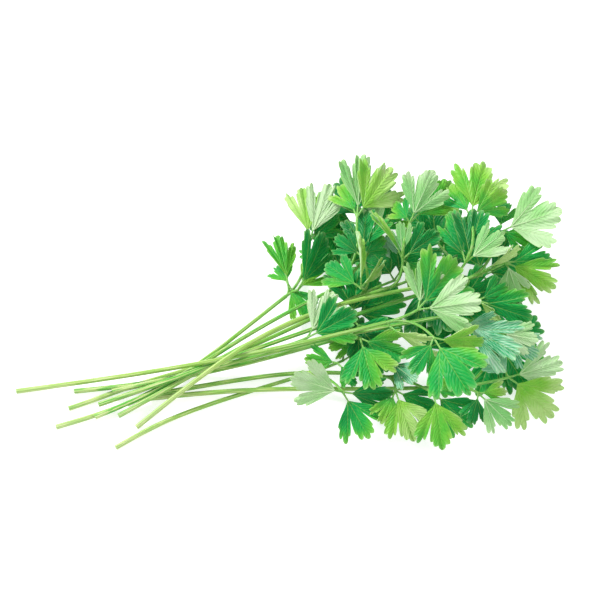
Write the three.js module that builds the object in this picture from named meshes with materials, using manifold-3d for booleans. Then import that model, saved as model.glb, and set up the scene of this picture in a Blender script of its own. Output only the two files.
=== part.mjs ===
// A bunch of flat-leaf parsley, lying on a table: twelve cut leafy stems, in millimetres, +Z up.
// Each leafy stem is one grown piece: a round stalk, the branches at its top, and three-lobed leaflets
// in sprays at the branches' ends. The stalks cross in a loose sheaf, and the foliage heaps up on the right.
import * as THREE from "three";
import { mergeVertices } from "three/addons/utils/BufferGeometryUtils.js";
import Module from "manifold-3d";

const wasm = await Module();
wasm.setup();

// Driving dimensions
const STALK_RADIUS = 1.25; // at the cut end
const CROWN_RADIUS = 0.95; // where the first branches leave
const BRANCH_RADIUS = 0.8;
const PETIOLE_RADIUS = 0.55; // the short stalk of one leaflet
const PETIOLE_SHARE = 0.16; // of the way from a spray's hub to a leaflet's tip
const BLADE_THICKNESS = 0.62;
const SIDES = { stalk: 6, branch: 5 };
const STEPS = { stalk: 9, branch: 2 };
const FINEST = 0.13; // details smaller than this are evened out
const GAP = 0.4; // left between a blade and what would grow through it

// Leaflet outline, as turns from the midrib in degrees and reach as a share of the length:
// tooth tips and notches by turns, and last the shoulder where the straight wedge side begins
const RIM = [
  [0, 1],
  [7, 0.88],
  [14, 0.94],
  [21, 0.58],
  [30, 0.9],
  [37, 0.78],
  [43, 0.8],
  [50, 0.36],
];
const SINUS = 3; // the deep notch between two lobes
const DEEP_RIM = [0, 2, 3, 4, 6, 7]; // the points of it that a leaflet deep in the heap has
const MID_RING = 0.55; // share of the reach where a blade bends between its root and its rim

// How the stems are kept clear of each other
const STALK_CLEAR = 1.45; // half of the distance kept between two stalks' middles
const LEAF_CLEAR = 2.4;
const BRANCH_CLEAR = 1.9;
const STALK_POINTS = 14;
const STALK_ROUNDS = 120;
const LEAF_ROUNDS = 240;
const EASE = 0.35; // share of a missing distance that is made up in one round
const SMOOTH = 0.08; // how strongly a stalk's bends even out in one round
const TOGETHER = 0.08; // how strongly the leaflets of one spray move together in one round
const CLOSE = 2; // beads within this many clearances tell which blade lies over which
const HOLD = 0.004; // how strongly a leaflet is drawn back to its own place in one round
const REST = 0.95; // height of the lowest stalks' middle, a little under their radius
const FLOOR_CLEAR = 0.5; // lowest point of a blade above the table
const BEAD_RINGS = [1, 3, 5, 7, 9]; // beads across a blade, ring by ring, to the rim
const BEAD_TURN = 46; // degrees from the midrib to the outermost bead
const INNER_BEADS = 6; // beads on and near the root, where leaflets of one spray may meet

// Places are measured as someone sees them who looks down on the bunch at EYE_TILT above the table:
// right and up across their view, and the height above the table
const EYE_TILT = THREE.MathUtils.degToRad(60);
const MIDDLE = { right: -5.46, up: -12.82 }; // the view's point over the middle of the bunch
const toEye = new THREE.Vector3(0, -Math.cos(EYE_TILT), Math.sin(EYE_TILT));

// Each stem: the stalk's route from its cut end to its crown, then its sprays. A spray has a hub, and leaflets
// given by their tips as right, up, height, roll and breadth. Roll 0 shows the upper face to the eye and 180
// the underside. A branch grows from the crown, or from that share of the stalk, or after an earlier spray.
const STEMS = [
  {
    route: [
      [-141.5, -45.5, 1.1],
      [-100, -40.5, 1.4],
      [-60, -34, 6.5],
      [-25, -27, 14],
      [5, -22.5, 22],
      [24, -16, 29],
      [42.5, -11, 37],
    ],
    sprays: [
      { hub: [58, -4.5, 50], tips: [[89, -1, 56, 172, 0.95], [61, 19, 54, 195, 0.8], [79, 21, 48, 10, 1]] },
      { hub: [65.5, -19, 47], tips: [[80, -44, 50, 8, 1.05], [89, -22, 47, 40, 0.8], [54, -36, 40, 0, 1]] },
      { hub: [44, -13, 38], tips: [[66, -29, 44, 74, 0.7]] },
      { hub: [4, -18.5, 24], from: 0.7, tips: [[16.5, 4, 31, 176, 0.8], [28, -6, 34, 5, 1]] },
    ],
  },
  {
    route: [
      [-112.5, -45.5, 1.1],
      [-92, -44.5, 1.1],
      [-50, -38, 4],
      [-20, -31, 7],
      [0, -24, 10],
      [20, -19, 16],
    ],
    sprays: [
      { hub: [30, -19, 22], tips: [[36, -43, 20, 0, 1.1], [51, -28, 24, 5, 1], [14, -24, 18, 10, 0.8]] },
      { hub: [44, -30, 18], tips: [[58, -41, 20, 170, 0.9]] },
    ],
  },
  {
    route: [
      [-115, -54, 1.1],
      [-80, -49, 1.1],
      [-50, -38, 1.6],
      [-20, -24, 5],
      [0, -11, 10],
      [18, -3, 14],
      [29, 2, 19],
    ],
    sprays: [
      { hub: [31, 22, 28], tips: [[33, 47, 32, -15, 1], [17, 32, 26, 0, 0.8], [44, 32, 26, 15, 0.8]] },
      { hub: [28.5, 42, 33], after: 0, tips: [[31, 72, 38, 195, 0.75], [47, 67, 36, 15, 0.95], [20, 60, 28, 0, 0.7]] },
      { hub: [30, 6, 24], tips: [[12, 19, 24, 5, 0.85], [44, 19, 26, 65, 0.7], [32, 34, 34, 70, 0.45]] },
    ],
  },
  {
    route: [
      [-121, -63, 1.1],
      [-95, -58, 1.1],
      [-60, -43, 1.3],
      [-42, -26, 2.5],
      [-25, -11, 5],
      [-7, 2, 9],
    ],
    sprays: [
      { hub: [4.5, 30, 20], tips: [[1.5, 59.5, 24, 5, 0.6], [15.5, 58, 26, 172, 0.65], [20, 44, 16, 0, 0.8]] },
      { hub: [-6, 8, 11], tips: [[-10.5, 33.5, 14, 40, 0.7], [-12, 18, 9, 10, 1], [4, -8, 10, 10, 0.85]] },
      { hub: [-1, 5, 14], tips: [[15.5, 33.5, 20, 40, 0.8], [12, 19, 15, 5, 0.9]] },
    ],
  },
  {
    route: [
      [-101.5, -58, 4.4],
      [-75, -50, 3.2],
      [-50, -34, 6.5],
      [-25, -14, 9],
      [0, -2, 13],
      [12, 3, 16],
    ],
    sprays: [
      { hub: [40, 33, 22], tips: [[52, 47, 24, 0, 0.9], [35, 52, 26, 150, 0.8], [50, 24, 18, 0, 0.9]] },
    ],
  },
  {
    route: [
      [-90, -57.5, 3.4],
      [-70, -49, 5],
      [-40, -28, 9.5],
      [0, -7, 16],
      [25, 1, 22],
      [44, 6, 28],
    ],
    sprays: [
      {
        hub: [51, 21, 32],
        tips: [[70, 34, 35, 0, 0.9], [50, 39, 38, 150, 0.8], [62, 8, 28, 10, 0.9], [38, 46, 44, 65, 0.45]],
      },
      { hub: [55, 39, 36], after: 0, tips: [[66, 64, 42, 185, 0.95], [78, 61, 38, 0, 0.8], [46, 49, 30, 0, 0.8]] },
    ],
  },
  {
    route: [
      [-81, -63.5, 1.1],
      [-65, -55, 3],
      [-50, -36, 12],
      [-36, -23, 14],
      [0, -3, 21],
      [42, 4, 31],
      [68, 8, 35],
    ],
    sprays: [
      { hub: [82, 19, 38], tips: [[91, 46, 43, 0, 0.9], [74, 45, 39, -20, 0.7], [101, 33, 42, 155, 0.8]] },
      { hub: [85, 42, 40], after: 0, tips: [[93, 71, 46, 0, 1], [105, 55, 42, 10, 0.9], [75, 60, 36, 0, 0.8]] },
    ],
  },
  {
    route: [
      [-91, -73, 1.1],
      [-75, -62, 1.1],
      [-50, -53, 1.1],
      [-25, -46, 1.1],
      [0, -38, 4],
    ],
    sprays: [
      { hub: [21.5, -46, 10], tips: [[34, -68, 5, 0, 1], [46, -47, 11, 20, 0.8], [-4, -37, 13, 165, 0.95]] },
      { hub: [19, -31, 14], tips: [[27, -42, 13, 0, 0.8], [2, -29, 15, 0, 0.9]] },
    ],
  },
  {
    route: [
      [-93.5, -45.5, 3.8],
      [-60, -40, 3.8],
      [-25, -28.5, 10],
      [0, -20, 15],
      [40, -14, 26],
      [66, -9, 34],
    ],
    sprays: [
      { hub: [88, 0, 40], tips: [[114, -10, 38, 15, 1], [104, 7, 38, 0, 0.9], [97, -10, 44, 70, 0.7]] },
      { hub: [98, -16, 36], tips: [[117, -20, 34, 178, 0.9], [117, -28, 32, 0, 0.9]] },
      { hub: [79, -12, 42], tips: [[106, -26, 48, 10, 0.8], [97, -12, 47, -25, 0.8]] },
    ],
  },
  {
    route: [
      [-86, -52, 1.1],
      [-50, -45, 1.1],
      [0, -33, 4],
      [25, -34, 8],
      [42, -38, 12],
    ],
    sprays: [
      { hub: [47, -45, 13], tips: [[56, -69, 6, 0, 1], [40, -61, 8, 0, 0.9], [68, -54, 9, 0, 0.8]] },
      { hub: [66, -46, 15], tips: [[70, -73, 6, 0, 1], [85, -63, 8, 5, 0.9], [79, -40, 20, 0, 0.9]] },
    ],
  },
  {
    route: [
      [-75, -49, 1.1],
      [-25, -43, 3.5],
      [0, -43, 2.2],
      [45, -46, 5],
      [75, -43, 12],
    ],
    sprays: [
      { hub: [104, -38, 18], tips: [[125, -58, 12, 0, 1.15], [130, -31, 18, 178, 0.95], [92, -26, 22, 0, 0.9]] },
      { hub: [88, -46, 16], tips: [[104, -62, 8, 172, 0.95], [102, -45, 18, 0, 0.8], [84, -61, 10, 0, 0.9]] },
    ],
  },
  {
    route: [
      [-100, -52, 3.8],
      [-50, -36, 9.5],
      [0, -14, 12],
      [50, -2, 20],
      [82, 10, 28],
    ],
    sprays: [
      { hub: [100, 35, 34], tips: [[131, 44, 40, 168, 1.1], [117, 28, 32, 10, 0.9], [104, 52, 30, 0, 0.8]] },
      { hub: [103, 19, 30], tips: [[126.5, 20, 30, 0, 1], [127, 6, 28, 5, 0.9], [108, 1, 26, 165, 0.9]] },
      { hub: [92, 15, 34], tips: [[110, 25, 40, 72, 0.7]] },
    ],
  },
];

// Sprays deep in the heap: the stem they grow on, their hub, which way they point, and how many leaflets they have
const DEEP_SPRAYS = [
  { stem: 1, hub: [26, -9, 8], heading: 20, count: 3 },
  { stem: 2, hub: [48, 10, 12], heading: 70, count: 2 },
  { stem: 4, hub: [30, 40, 8], heading: 110, count: 3 },
  { stem: 4, hub: [22, 14, 5], heading: 60, count: 2 },
  { stem: 5, hub: [60, 12, 20], heading: -65, count: 2 },
  { stem: 6, hub: [72, 26, 12], heading: 70, count: 2 },
  { stem: 7, hub: [22, -30, 6], heading: 30, count: 2 },
  { stem: 9, hub: [60, -28, 5], heading: -20, count: 2 },
  { stem: 10, hub: [98, -20, 8], heading: -50, count: 3 },
  { stem: 11, hub: [92, 12, 10], heading: 30, count: 3 },
  { stem: 11, hub: [78, 0, 18], heading: -60, count: 2 },
];
const DEEP_FAN = [0, 65, -65]; // turns of a deep spray's leaflets from its heading, in degrees
const DEEP_LENGTH = [25, 30];
const DEEP_BREADTH = 1.2;

const SEED = 7;

function place([right, up, height]) {
  const y = (up - MIDDLE.up - height * Math.cos(EYE_TILT)) / Math.sin(EYE_TILT);
  return new THREE.Vector3(right - MIDDLE.right, y, height);
}

// A seeded draw between two limits
let state = SEED;
function draw(low, high) {
  state = (state * 1664525 + 1013904223) % 4294967296;
  return low + ((high - low) * state) / 4294967296;
}

// One leaflet: its own frame, and how far it droops, folds, waves and is cut, each a seeded draw
function makeLeaflet(hub, [right, up, height, roll, breadth], deep) {
  const tip = place([right, up, height]);
  const axis = tip.clone().sub(hub).normalize();
  const length = tip.distanceTo(hub) * (1 - PETIOLE_SHARE);
  const base = hub.clone().lerp(tip, PETIOLE_SHARE);
  const normal = toEye.clone().addScaledVector(axis, -toEye.dot(axis)).normalize();
  normal.applyAxisAngle(axis, THREE.MathUtils.degToRad(roll));
  const side = normal.clone().cross(axis);
  return {
    base, axis, normal, side, length, breadth, deep, shift: 0,
    droop: draw(0.04, 0.16),
    fold: draw(-0.16, 0.1),
    phase: draw(0, 2 * Math.PI),
    cut: draw(0.8, 1.2),
  };
}

// The point of a blade at a turn from the midrib, a reach of its rim and a share of the way there
function bladePoint(leaf, turn, reach, share) {
  const angle = THREE.MathUtils.degToRad(turn * leaf.breadth);
  const out = leaf.length * reach * share;
  const lift = leaf.length * reach * share * (
    -leaf.droop * share
    + leaf.fold * Math.abs(Math.sin(angle))
    + 0.05 * share * Math.sin(5 * angle + leaf.phase));
  return leaf.base.clone()
    .addScaledVector(leaf.axis, out * Math.cos(angle))
    .addScaledVector(leaf.side, out * Math.sin(angle))
    .addScaledVector(leaf.normal, lift)
    .addScaledVector(toEye, leaf.shift);
}

// The tips of a deep spray's leaflets
function deepTips([right, up, height], heading, count) {
  return DEEP_FAN.slice(0, count).map((turn) => {
    const angle = THREE.MathUtils.degToRad(heading + turn + draw(-15, 15));
    const length = draw(...DEEP_LENGTH);
    const tip = [right + length * Math.cos(angle), up + length * Math.sin(angle), Math.max(3, height + draw(-5, 4))];
    return [...tip, draw(-25, 25), DEEP_BREADTH];
  });
}

function makeStem({ route, sprays }, index) {
  const deepSprays = DEEP_SPRAYS.filter((spray) => spray.stem === index)
    .map(({ hub, heading, count }) => ({ hub, tips: deepTips(hub, heading, count), deep: true }));
  const rough = new THREE.CatmullRomCurve3(route.map(place), false, "centripetal");
  const points = rough.getSpacedPoints(STALK_POINTS - 1);
  const stalk = new THREE.CatmullRomCurve3(points, false, "centripetal");
  const made = [...sprays, ...deepSprays].map(({ hub, tips, after, from = 1, deep = false }) => {
    const middle = place(hub);
    return { hub: middle, after, from, leaflets: tips.map((tip) => makeLeaflet(middle, tip, deep)) };
  });
  return { index, stalk, sprays: made };
}

// A spray's hub after its leaflets have moved, and the branch that carries it
const meanShift = (spray) => spray.leaflets.reduce((sum, leaf) => sum + leaf.shift, 0) / spray.leaflets.length;
const hubOf = (spray) => spray.hub.clone().addScaledVector(toEye, meanShift(spray));

function branchOf(stem, spray) {
  const end = hubOf(spray);
  const carrier = spray.after === undefined ? undefined : branchOf(stem, stem.sprays[spray.after]);
  const start = carrier ? carrier.v2 : stem.stalk.getPoint(spray.from);
  const heading = carrier ? carrier.getTangent(1) : stem.stalk.getTangent(spray.from);
  const middle = start.clone().addScaledVector(heading, 0.45 * start.distanceTo(end));
  return new THREE.QuadraticBezierCurve3(start, middle, end);
}

// The closest points of two straight pieces, as shares of their lengths
function nearest(p, q, r, t) {
  const d = q.clone().sub(p);
  const e = t.clone().sub(r);
  const w = p.clone().sub(r);
  const [dd, ee, de, dw, ew] = [d.dot(d), e.dot(e), d.dot(e), d.dot(w), e.dot(w)];
  const clamp = (x) => Math.min(1, Math.max(0, x));
  const slope = dd * ee - de * de;
  let a = slope > 1e-9 ? clamp((de * ew - dw * ee) / slope) : 0.5;
  const b = clamp((de * a + ew) / ee);
  a = clamp((de * b - dw) / dd);
  const distance = p.clone().addScaledVector(d, a).distanceTo(r.clone().addScaledVector(e, b));
  return { a, b, distance };
}

// Bends the stalks over and under each other along the line of sight, none of them lower than REST
function settleStalks(stems) {
  const routes = stems.map((stem) => stem.stalk.points);
  for (let round = 0; round < STALK_ROUNDS; round++) {
    const lifts = routes.map((points) => points.map(() => 0));
    for (let i = 0; i < routes.length; i++)
      for (let j = i + 1; j < routes.length; j++)
        for (let m = 0; m + 1 < STALK_POINTS; m++)
          for (let n = 0; n + 1 < STALK_POINTS; n++) {
            const [p, q, r, t] = [routes[i][m], routes[i][m + 1], routes[j][n], routes[j][n + 1]];
            const { a, b, distance } = nearest(p, q, r, t);
            const missing = 2 * STALK_CLEAR - distance;
            if (missing <= 0) continue;
            const over = p.clone().lerp(q, a).dot(toEye) >= r.clone().lerp(t, b).dot(toEye) ? 1 : -1;
            lifts[i][m] += over * missing * (1 - a);
            lifts[i][m + 1] += over * missing * a;
            lifts[j][n] -= over * missing * (1 - b);
            lifts[j][n + 1] -= over * missing * b;
          }
    routes.forEach((points, i) => {
      points.forEach((point, k) => point.addScaledVector(toEye, EASE * lifts[i][k]));
      const middles = points.map((point, k) =>
        k === 0 || k + 1 === STALK_POINTS ? point.clone() : points[k - 1].clone().lerp(points[k + 1], 0.5));
      points.forEach((point, k) => {
        point.lerp(middles[k], SMOOTH);
        if (point.z < REST) point.z = REST;
      });
    });
  }
}

// What must stay clear around the blades, as beads: a blade moves along the line of sight,
// a branch takes its spray with it, and stalks stay
function leafBeads(leaf) {
  const stalked = [-0.1, 0].map((share) => bladePoint(leaf, 0, 1, share));
  return stalked.concat(BEAD_RINGS.flatMap((count, ring) =>
    Array.from({ length: count }, (_, k) => {
      const turn = count === 1 ? 0 : BEAD_TURN * ((2 * k) / (count - 1) - 1);
      return bladePoint(leaf, turn, 0.92 - 0.003 * Math.abs(turn), (ring + 1) / BEAD_RINGS.length);
    })));
}
const curveBeads = (curve, count) => Array.from({ length: count }, (_, k) => curve.getPoint((k + 1) / (count + 1)));

function elementsOf(stem) {
  const stalk = { stem, clear: BRANCH_CLEAR, beads: () => curveBeads(stem.stalk, 80), leaves: [] };
  const rest = stem.sprays.flatMap((spray) => [
    { stem, spray, clear: BRANCH_CLEAR, beads: () => curveBeads(branchOf(stem, spray), 10), leaves: spray.leaflets },
    ...spray.leaflets.map((leaf) => (
      { stem, spray, clear: LEAF_CLEAR, beads: () => leafBeads(leaf), leaves: [leaf], leaf })),
  ]);
  return [stalk, ...rest];
}

// The least distance between two sets of beads, and which set lies nearer to the eye where they are close
function compare(pointsA, pointsB, clear) {
  let distance = Infinity;
  let lean = 0;
  for (const p of pointsA)
    for (const q of pointsB) {
      const gap = p.distanceTo(q);
      distance = Math.min(distance, gap);
      if (gap < CLOSE * clear) lean += p.dot(toEye) - q.dot(toEye);
    }
  return { distance, over: lean > 0 ? 1 : -1 };
}

// How far two elements are to stay apart: nothing is asked of a stem's own wood, or of a spray at its own hub
function clearance(a, b) {
  if (a.leaves.length + b.leaves.length === 0) return 0;
  if (a.stem !== b.stem) return a.clear + b.clear;
  if (!a.leaf && !b.leaf) return 0;
  if (a.spray !== b.spray) return a.leaf && b.leaf ? a.clear + b.clear : 0;
  return a.leaf && b.leaf ? a.clear : 0;
}

// Moves blades that come too near anything apart along the line of sight, and up off the table
function settleLeaves(stems) {
  const elements = stems.flatMap(elementsOf);
  for (let round = 0; round < LEAF_ROUNDS; round++) {
    for (const e of elements) {
      e.points = e.beads();
      e.centre = e.points.reduce((sum, p) => sum.add(p), new THREE.Vector3()).divideScalar(e.points.length);
      e.radius = Math.max(...e.points.map((p) => p.distanceTo(e.centre)));
      e.push = 0;
    }
    for (let i = 0; i < elements.length; i++)
      for (let j = i + 1; j < elements.length; j++) {
        const [a, b] = [elements[i], elements[j]];
        const clear = clearance(a, b);
        if (clear === 0 || a.centre.distanceTo(b.centre) > a.radius + b.radius + clear) continue;
        const skip = a.spray && a.spray === b.spray ? INNER_BEADS : 0;
        const { distance, over } = compare(a.points.slice(skip), b.points.slice(skip), clear);
        if (distance >= clear) continue;
        const push = EASE * (clear - distance) * over;
        a.push += push * (b.leaves.length ? 1 : 2);
        b.push -= push * (a.leaves.length ? 1 : 2);
      }
    for (const e of elements)
      for (const leaf of e.leaves) leaf.shift += e.push;
    for (const spray of stems.flatMap((stem) => stem.sprays)) {
      const mean = meanShift(spray);
      for (const leaf of spray.leaflets) leaf.shift += TOGETHER * (mean - leaf.shift) - HOLD * leaf.shift;
    }
    for (const { leaf } of elements)
      if (leaf) {
        const lowest = Math.min(...leafBeads(leaf).map((p) => p.z)) - FLOOR_CLEAR;
        if (lowest < 0) leaf.shift -= lowest / toEye.z;
      }
  }
  return elements;
}

// Solids
function solid(geometry) {
  geometry.deleteAttribute("normal");
  geometry.deleteAttribute("uv");
  const merged = mergeVertices(geometry, 1e-4);
  return new wasm.Manifold(new wasm.Mesh({
    numProp: 3,
    vertProperties: new Float32Array(merged.attributes.position.array),
    triVerts: new Uint32Array(merged.index.array),
  }));
}

// A cylinder bent along a curve, tapering from its start to its end
function tube(curve, startRadius, endRadius, sides, steps) {
  const geometry = new THREE.CylinderGeometry(endRadius, startRadius, 1, sides, steps);
  const { normals, tangents } = curve.computeFrenetFrames(steps);
  const position = geometry.attributes.position;
  for (let k = 0; k < position.count; k++) {
    const step = Math.round((position.getY(k) + 0.5) * steps);
    const across = normals[step].clone().cross(tangents[step]);
    const point = curve.getPointAt(step / steps)
      .addScaledVector(normals[step], position.getX(k))
      .addScaledVector(across, position.getZ(k));
    position.setXYZ(k, point.x, point.y, point.z);
  }
  return solid(geometry);
}

// The rim of a blade from one shoulder over the tip to the other, with this leaflet's own depth of cut
function rimOf(leaf) {
  const whole = RIM.map(([turn, reach], k) => [turn, k === SINUS ? reach * leaf.cut : reach]);
  const half = leaf.deep ? DEEP_RIM.map((k) => whole[k]) : whole;
  const mirrored = half.slice(1).reverse().map(([turn, reach]) => [-turn, reach]);
  return [...mirrored, ...half];
}

// A leaflet: a flat stalk from its spray's hub, a ring of bend points and the toothed rim, alike on both faces,
// and grown all round by a margin
function leaflet(leaf, hub, margin = 0) {
  const wider = 1 + margin / leaf.length;
  const rim = rimOf(leaf).map(([turn, reach]) => [turn * wider ** 3, reach * wider]);
  const bends = rim.filter((_, k) => k % 2 === 0);
  const root = bladePoint(leaf, 0, 1, 0.02);
  const beside = (point, way) => point.clone().addScaledVector(leaf.side, way * (PETIOLE_RADIUS + margin));
  const sheet = [
    beside(hub, -1), beside(hub, 1), beside(root, -1), beside(root, 1),
    ...bends.map(([turn, reach]) => bladePoint(leaf, turn, reach, MID_RING)),
    ...rim.map(([turn, reach]) => bladePoint(leaf, turn, reach, 1)),
  ];
  const bend = (k) => 4 + k;
  const edge = (k) => 4 + bends.length + k;
  const centre = bends.length / 2 - 1;
  const faces = [[0, 2, 3], [0, 3, 1], [2, bend(centre), 3]];
  for (let k = 0; k + 1 < bends.length; k++)
    faces.push(
      [k < centre ? 2 : 3, bend(k), bend(k + 1)],
      [bend(k), edge(2 * k), edge(2 * k + 1)],
      [bend(k), edge(2 * k + 1), bend(k + 1)],
      [bend(k + 1), edge(2 * k + 1), edge(2 * k + 2)]);
  const outline = [0, 2, bend(0), ...rim.map((_, k) => edge(k)), bend(bends.length - 1), 3, 1];
  const count = sheet.length;
  const thickness = (k) => (k < 4 ? 1.5 * PETIOLE_RADIUS : BLADE_THICKNESS) + 2 * margin;
  const offset = (way) => sheet.map((p, k) => p.clone().addScaledVector(leaf.normal, (way * thickness(k)) / 2));
  const turned = faces.map(([a, b, c]) => [a + count, c + count, b + count]);
  const walls = outline.flatMap((a, k) => {
    const b = outline[(k + 1) % outline.length];
    return [[a, a + count, b + count], [a, b + count, b]];
  });
  const geometry = new THREE.BufferGeometry().setFromPoints([...offset(1), ...offset(-1)]);
  return solid(geometry.setIndex([...faces, ...turned, ...walls].flat()));
}

// Everything above the table, which trims the lowest stalks flat
const above = solid(new THREE.BoxGeometry(400, 400, 200).translate(0, 0, 100));

// The pieces of one stem, each with its body and the same body grown by GAP
function piecesOf(stem) {
  const both = (make) => ({ stem, body: make(0), grown: make(GAP) });
  const pieces = [
    both((margin) => tube(stem.stalk, STALK_RADIUS + margin, CROWN_RADIUS + margin, SIDES.stalk, STEPS.stalk))];
  for (const spray of stem.sprays) {
    const branch = branchOf(stem, spray);
    const radius = (margin) => BRANCH_RADIUS + margin;
    pieces.push(both((margin) => tube(branch, radius(margin), radius(margin), SIDES.branch, STEPS.branch)));
    for (const leaf of spray.leaflets)
      pieces.push({ ...both((margin) => leaflet(leaf, branch.getPointAt(0.97), margin)), leaf });
  }
  return pieces;
}

function apart(a, b) {
  const [p, q] = [a.boundingBox(), b.boundingBox()];
  return p.min.some((low, k) => low > q.max[k] || q.min[k] > p.max[k]);
}

// Cuts each blade around another stem's wood, and around a blade that isn't deep or came first.
// Wood is only notched, where it would run into other wood.
function trim(pieces) {
  const depth = ({ leaf }) => (leaf ? 1 + leaf.deep : 0);
  const sorted = [...pieces].sort((a, b) => depth(a) - depth(b));
  sorted.forEach((piece, k) => {
    for (const other of sorted.slice(0, k)) {
      if (other.stem === piece.stem || apart(piece.body, other.grown)) continue;
      if (piece.leaf || piece.body.intersect(other.body).volume() > 0) piece.body = piece.body.subtract(other.grown);
    }
  });
}

function leafyStem(pieces) {
  const whole = wasm.Manifold.union(pieces.map(({ body }) => body)).intersect(above).simplify(FINEST);
  return whole.decompose().sort((a, b) => b.volume() - a.volume())[0];
}

function geometryOf(made) {
  const { vertProperties, triVerts } = made.getMesh();
  const geometry = new THREE.BufferGeometry();
  geometry.setAttribute("position", new THREE.BufferAttribute(vertProperties, 3));
  geometry.setIndex(new THREE.BufferAttribute(triVerts, 1));
  geometry.computeVertexNormals();
  return geometry;
}

const stems = STEMS.map(makeStem);
settleStalks(stems);
settleLeaves(stems);

const green = new THREE.MeshStandardMaterial({ color: 0x3fae3a, roughness: 0.5, metalness: 0 });
const bunch = new THREE.Group();
const pieces = stems.flatMap(piecesOf);
trim(pieces);
for (const stem of stems) {
  const own = pieces.filter((piece) => piece.stem === stem);
  const mesh = new THREE.Mesh(geometryOf(leafyStem(own)), green);
  mesh.name = `leafy_stem_${String(stem.index + 1).padStart(2, "0")}`;
  bunch.add(mesh);
}

export default bunch;
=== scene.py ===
import math

import bpy
import numpy as np
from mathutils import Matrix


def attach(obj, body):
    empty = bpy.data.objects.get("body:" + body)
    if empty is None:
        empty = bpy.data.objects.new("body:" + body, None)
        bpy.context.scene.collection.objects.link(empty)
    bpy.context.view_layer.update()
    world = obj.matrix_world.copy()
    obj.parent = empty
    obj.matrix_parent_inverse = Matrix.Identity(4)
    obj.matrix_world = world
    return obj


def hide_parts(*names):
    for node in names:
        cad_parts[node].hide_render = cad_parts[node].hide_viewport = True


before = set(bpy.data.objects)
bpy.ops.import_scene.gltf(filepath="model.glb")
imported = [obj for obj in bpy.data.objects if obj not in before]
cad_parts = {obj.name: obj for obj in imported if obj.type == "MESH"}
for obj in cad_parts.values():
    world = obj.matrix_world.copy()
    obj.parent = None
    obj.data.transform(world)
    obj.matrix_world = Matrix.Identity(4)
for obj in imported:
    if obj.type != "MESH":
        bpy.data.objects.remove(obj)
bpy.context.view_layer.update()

# The stalks.
# Twelve cut parsley stalks, round and faintly ribbed, lie loose on the table and cross in a sheaf.
# Where they cross they bend over and under each other, as the frame's solids do. Sizes are in millimetres.
MM = 0.001
STALK_RADIUS = 1.25
CROWN_RADIUS = 0.95
STALK_CLEAR = 1.45  # half of what is kept between the middles of two stalks
STALK_POINTS = 14  # of each stalk's route, while the stalks settle
STALK_ROUNDS = 120
STALK_RINGS = 110
STALK_SIDES = 16
EVENED_POINTS = 60
CURVE_STEPS = 201
RIBS = 7
RIB_DEPTH = 0.05  # as a share of the radius
CROWN_AGE = 0.75  # the age mark runs from 0 at the cut end to 1 at a leaflet
EASE = 0.35  # the share of a push that one round makes
SMOOTH = 0.08  # the share by which one round evens a stalk out
REST = 0.95  # no stalk's middle lies lower than this
PARALLEL = 1e-9  # below this, two straight pieces count as parallel
SKEW = (0.31, 0.17, 0.94)  # a direction that no rod starts along
EYE_TILT = math.radians(60)
MIDDLE = {"right": -5.46, "up": -12.82}  # the view's point over the middle of the bunch
TO_EYE = np.array([0.0, -math.cos(EYE_TILT), math.sin(EYE_TILT)])

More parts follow.
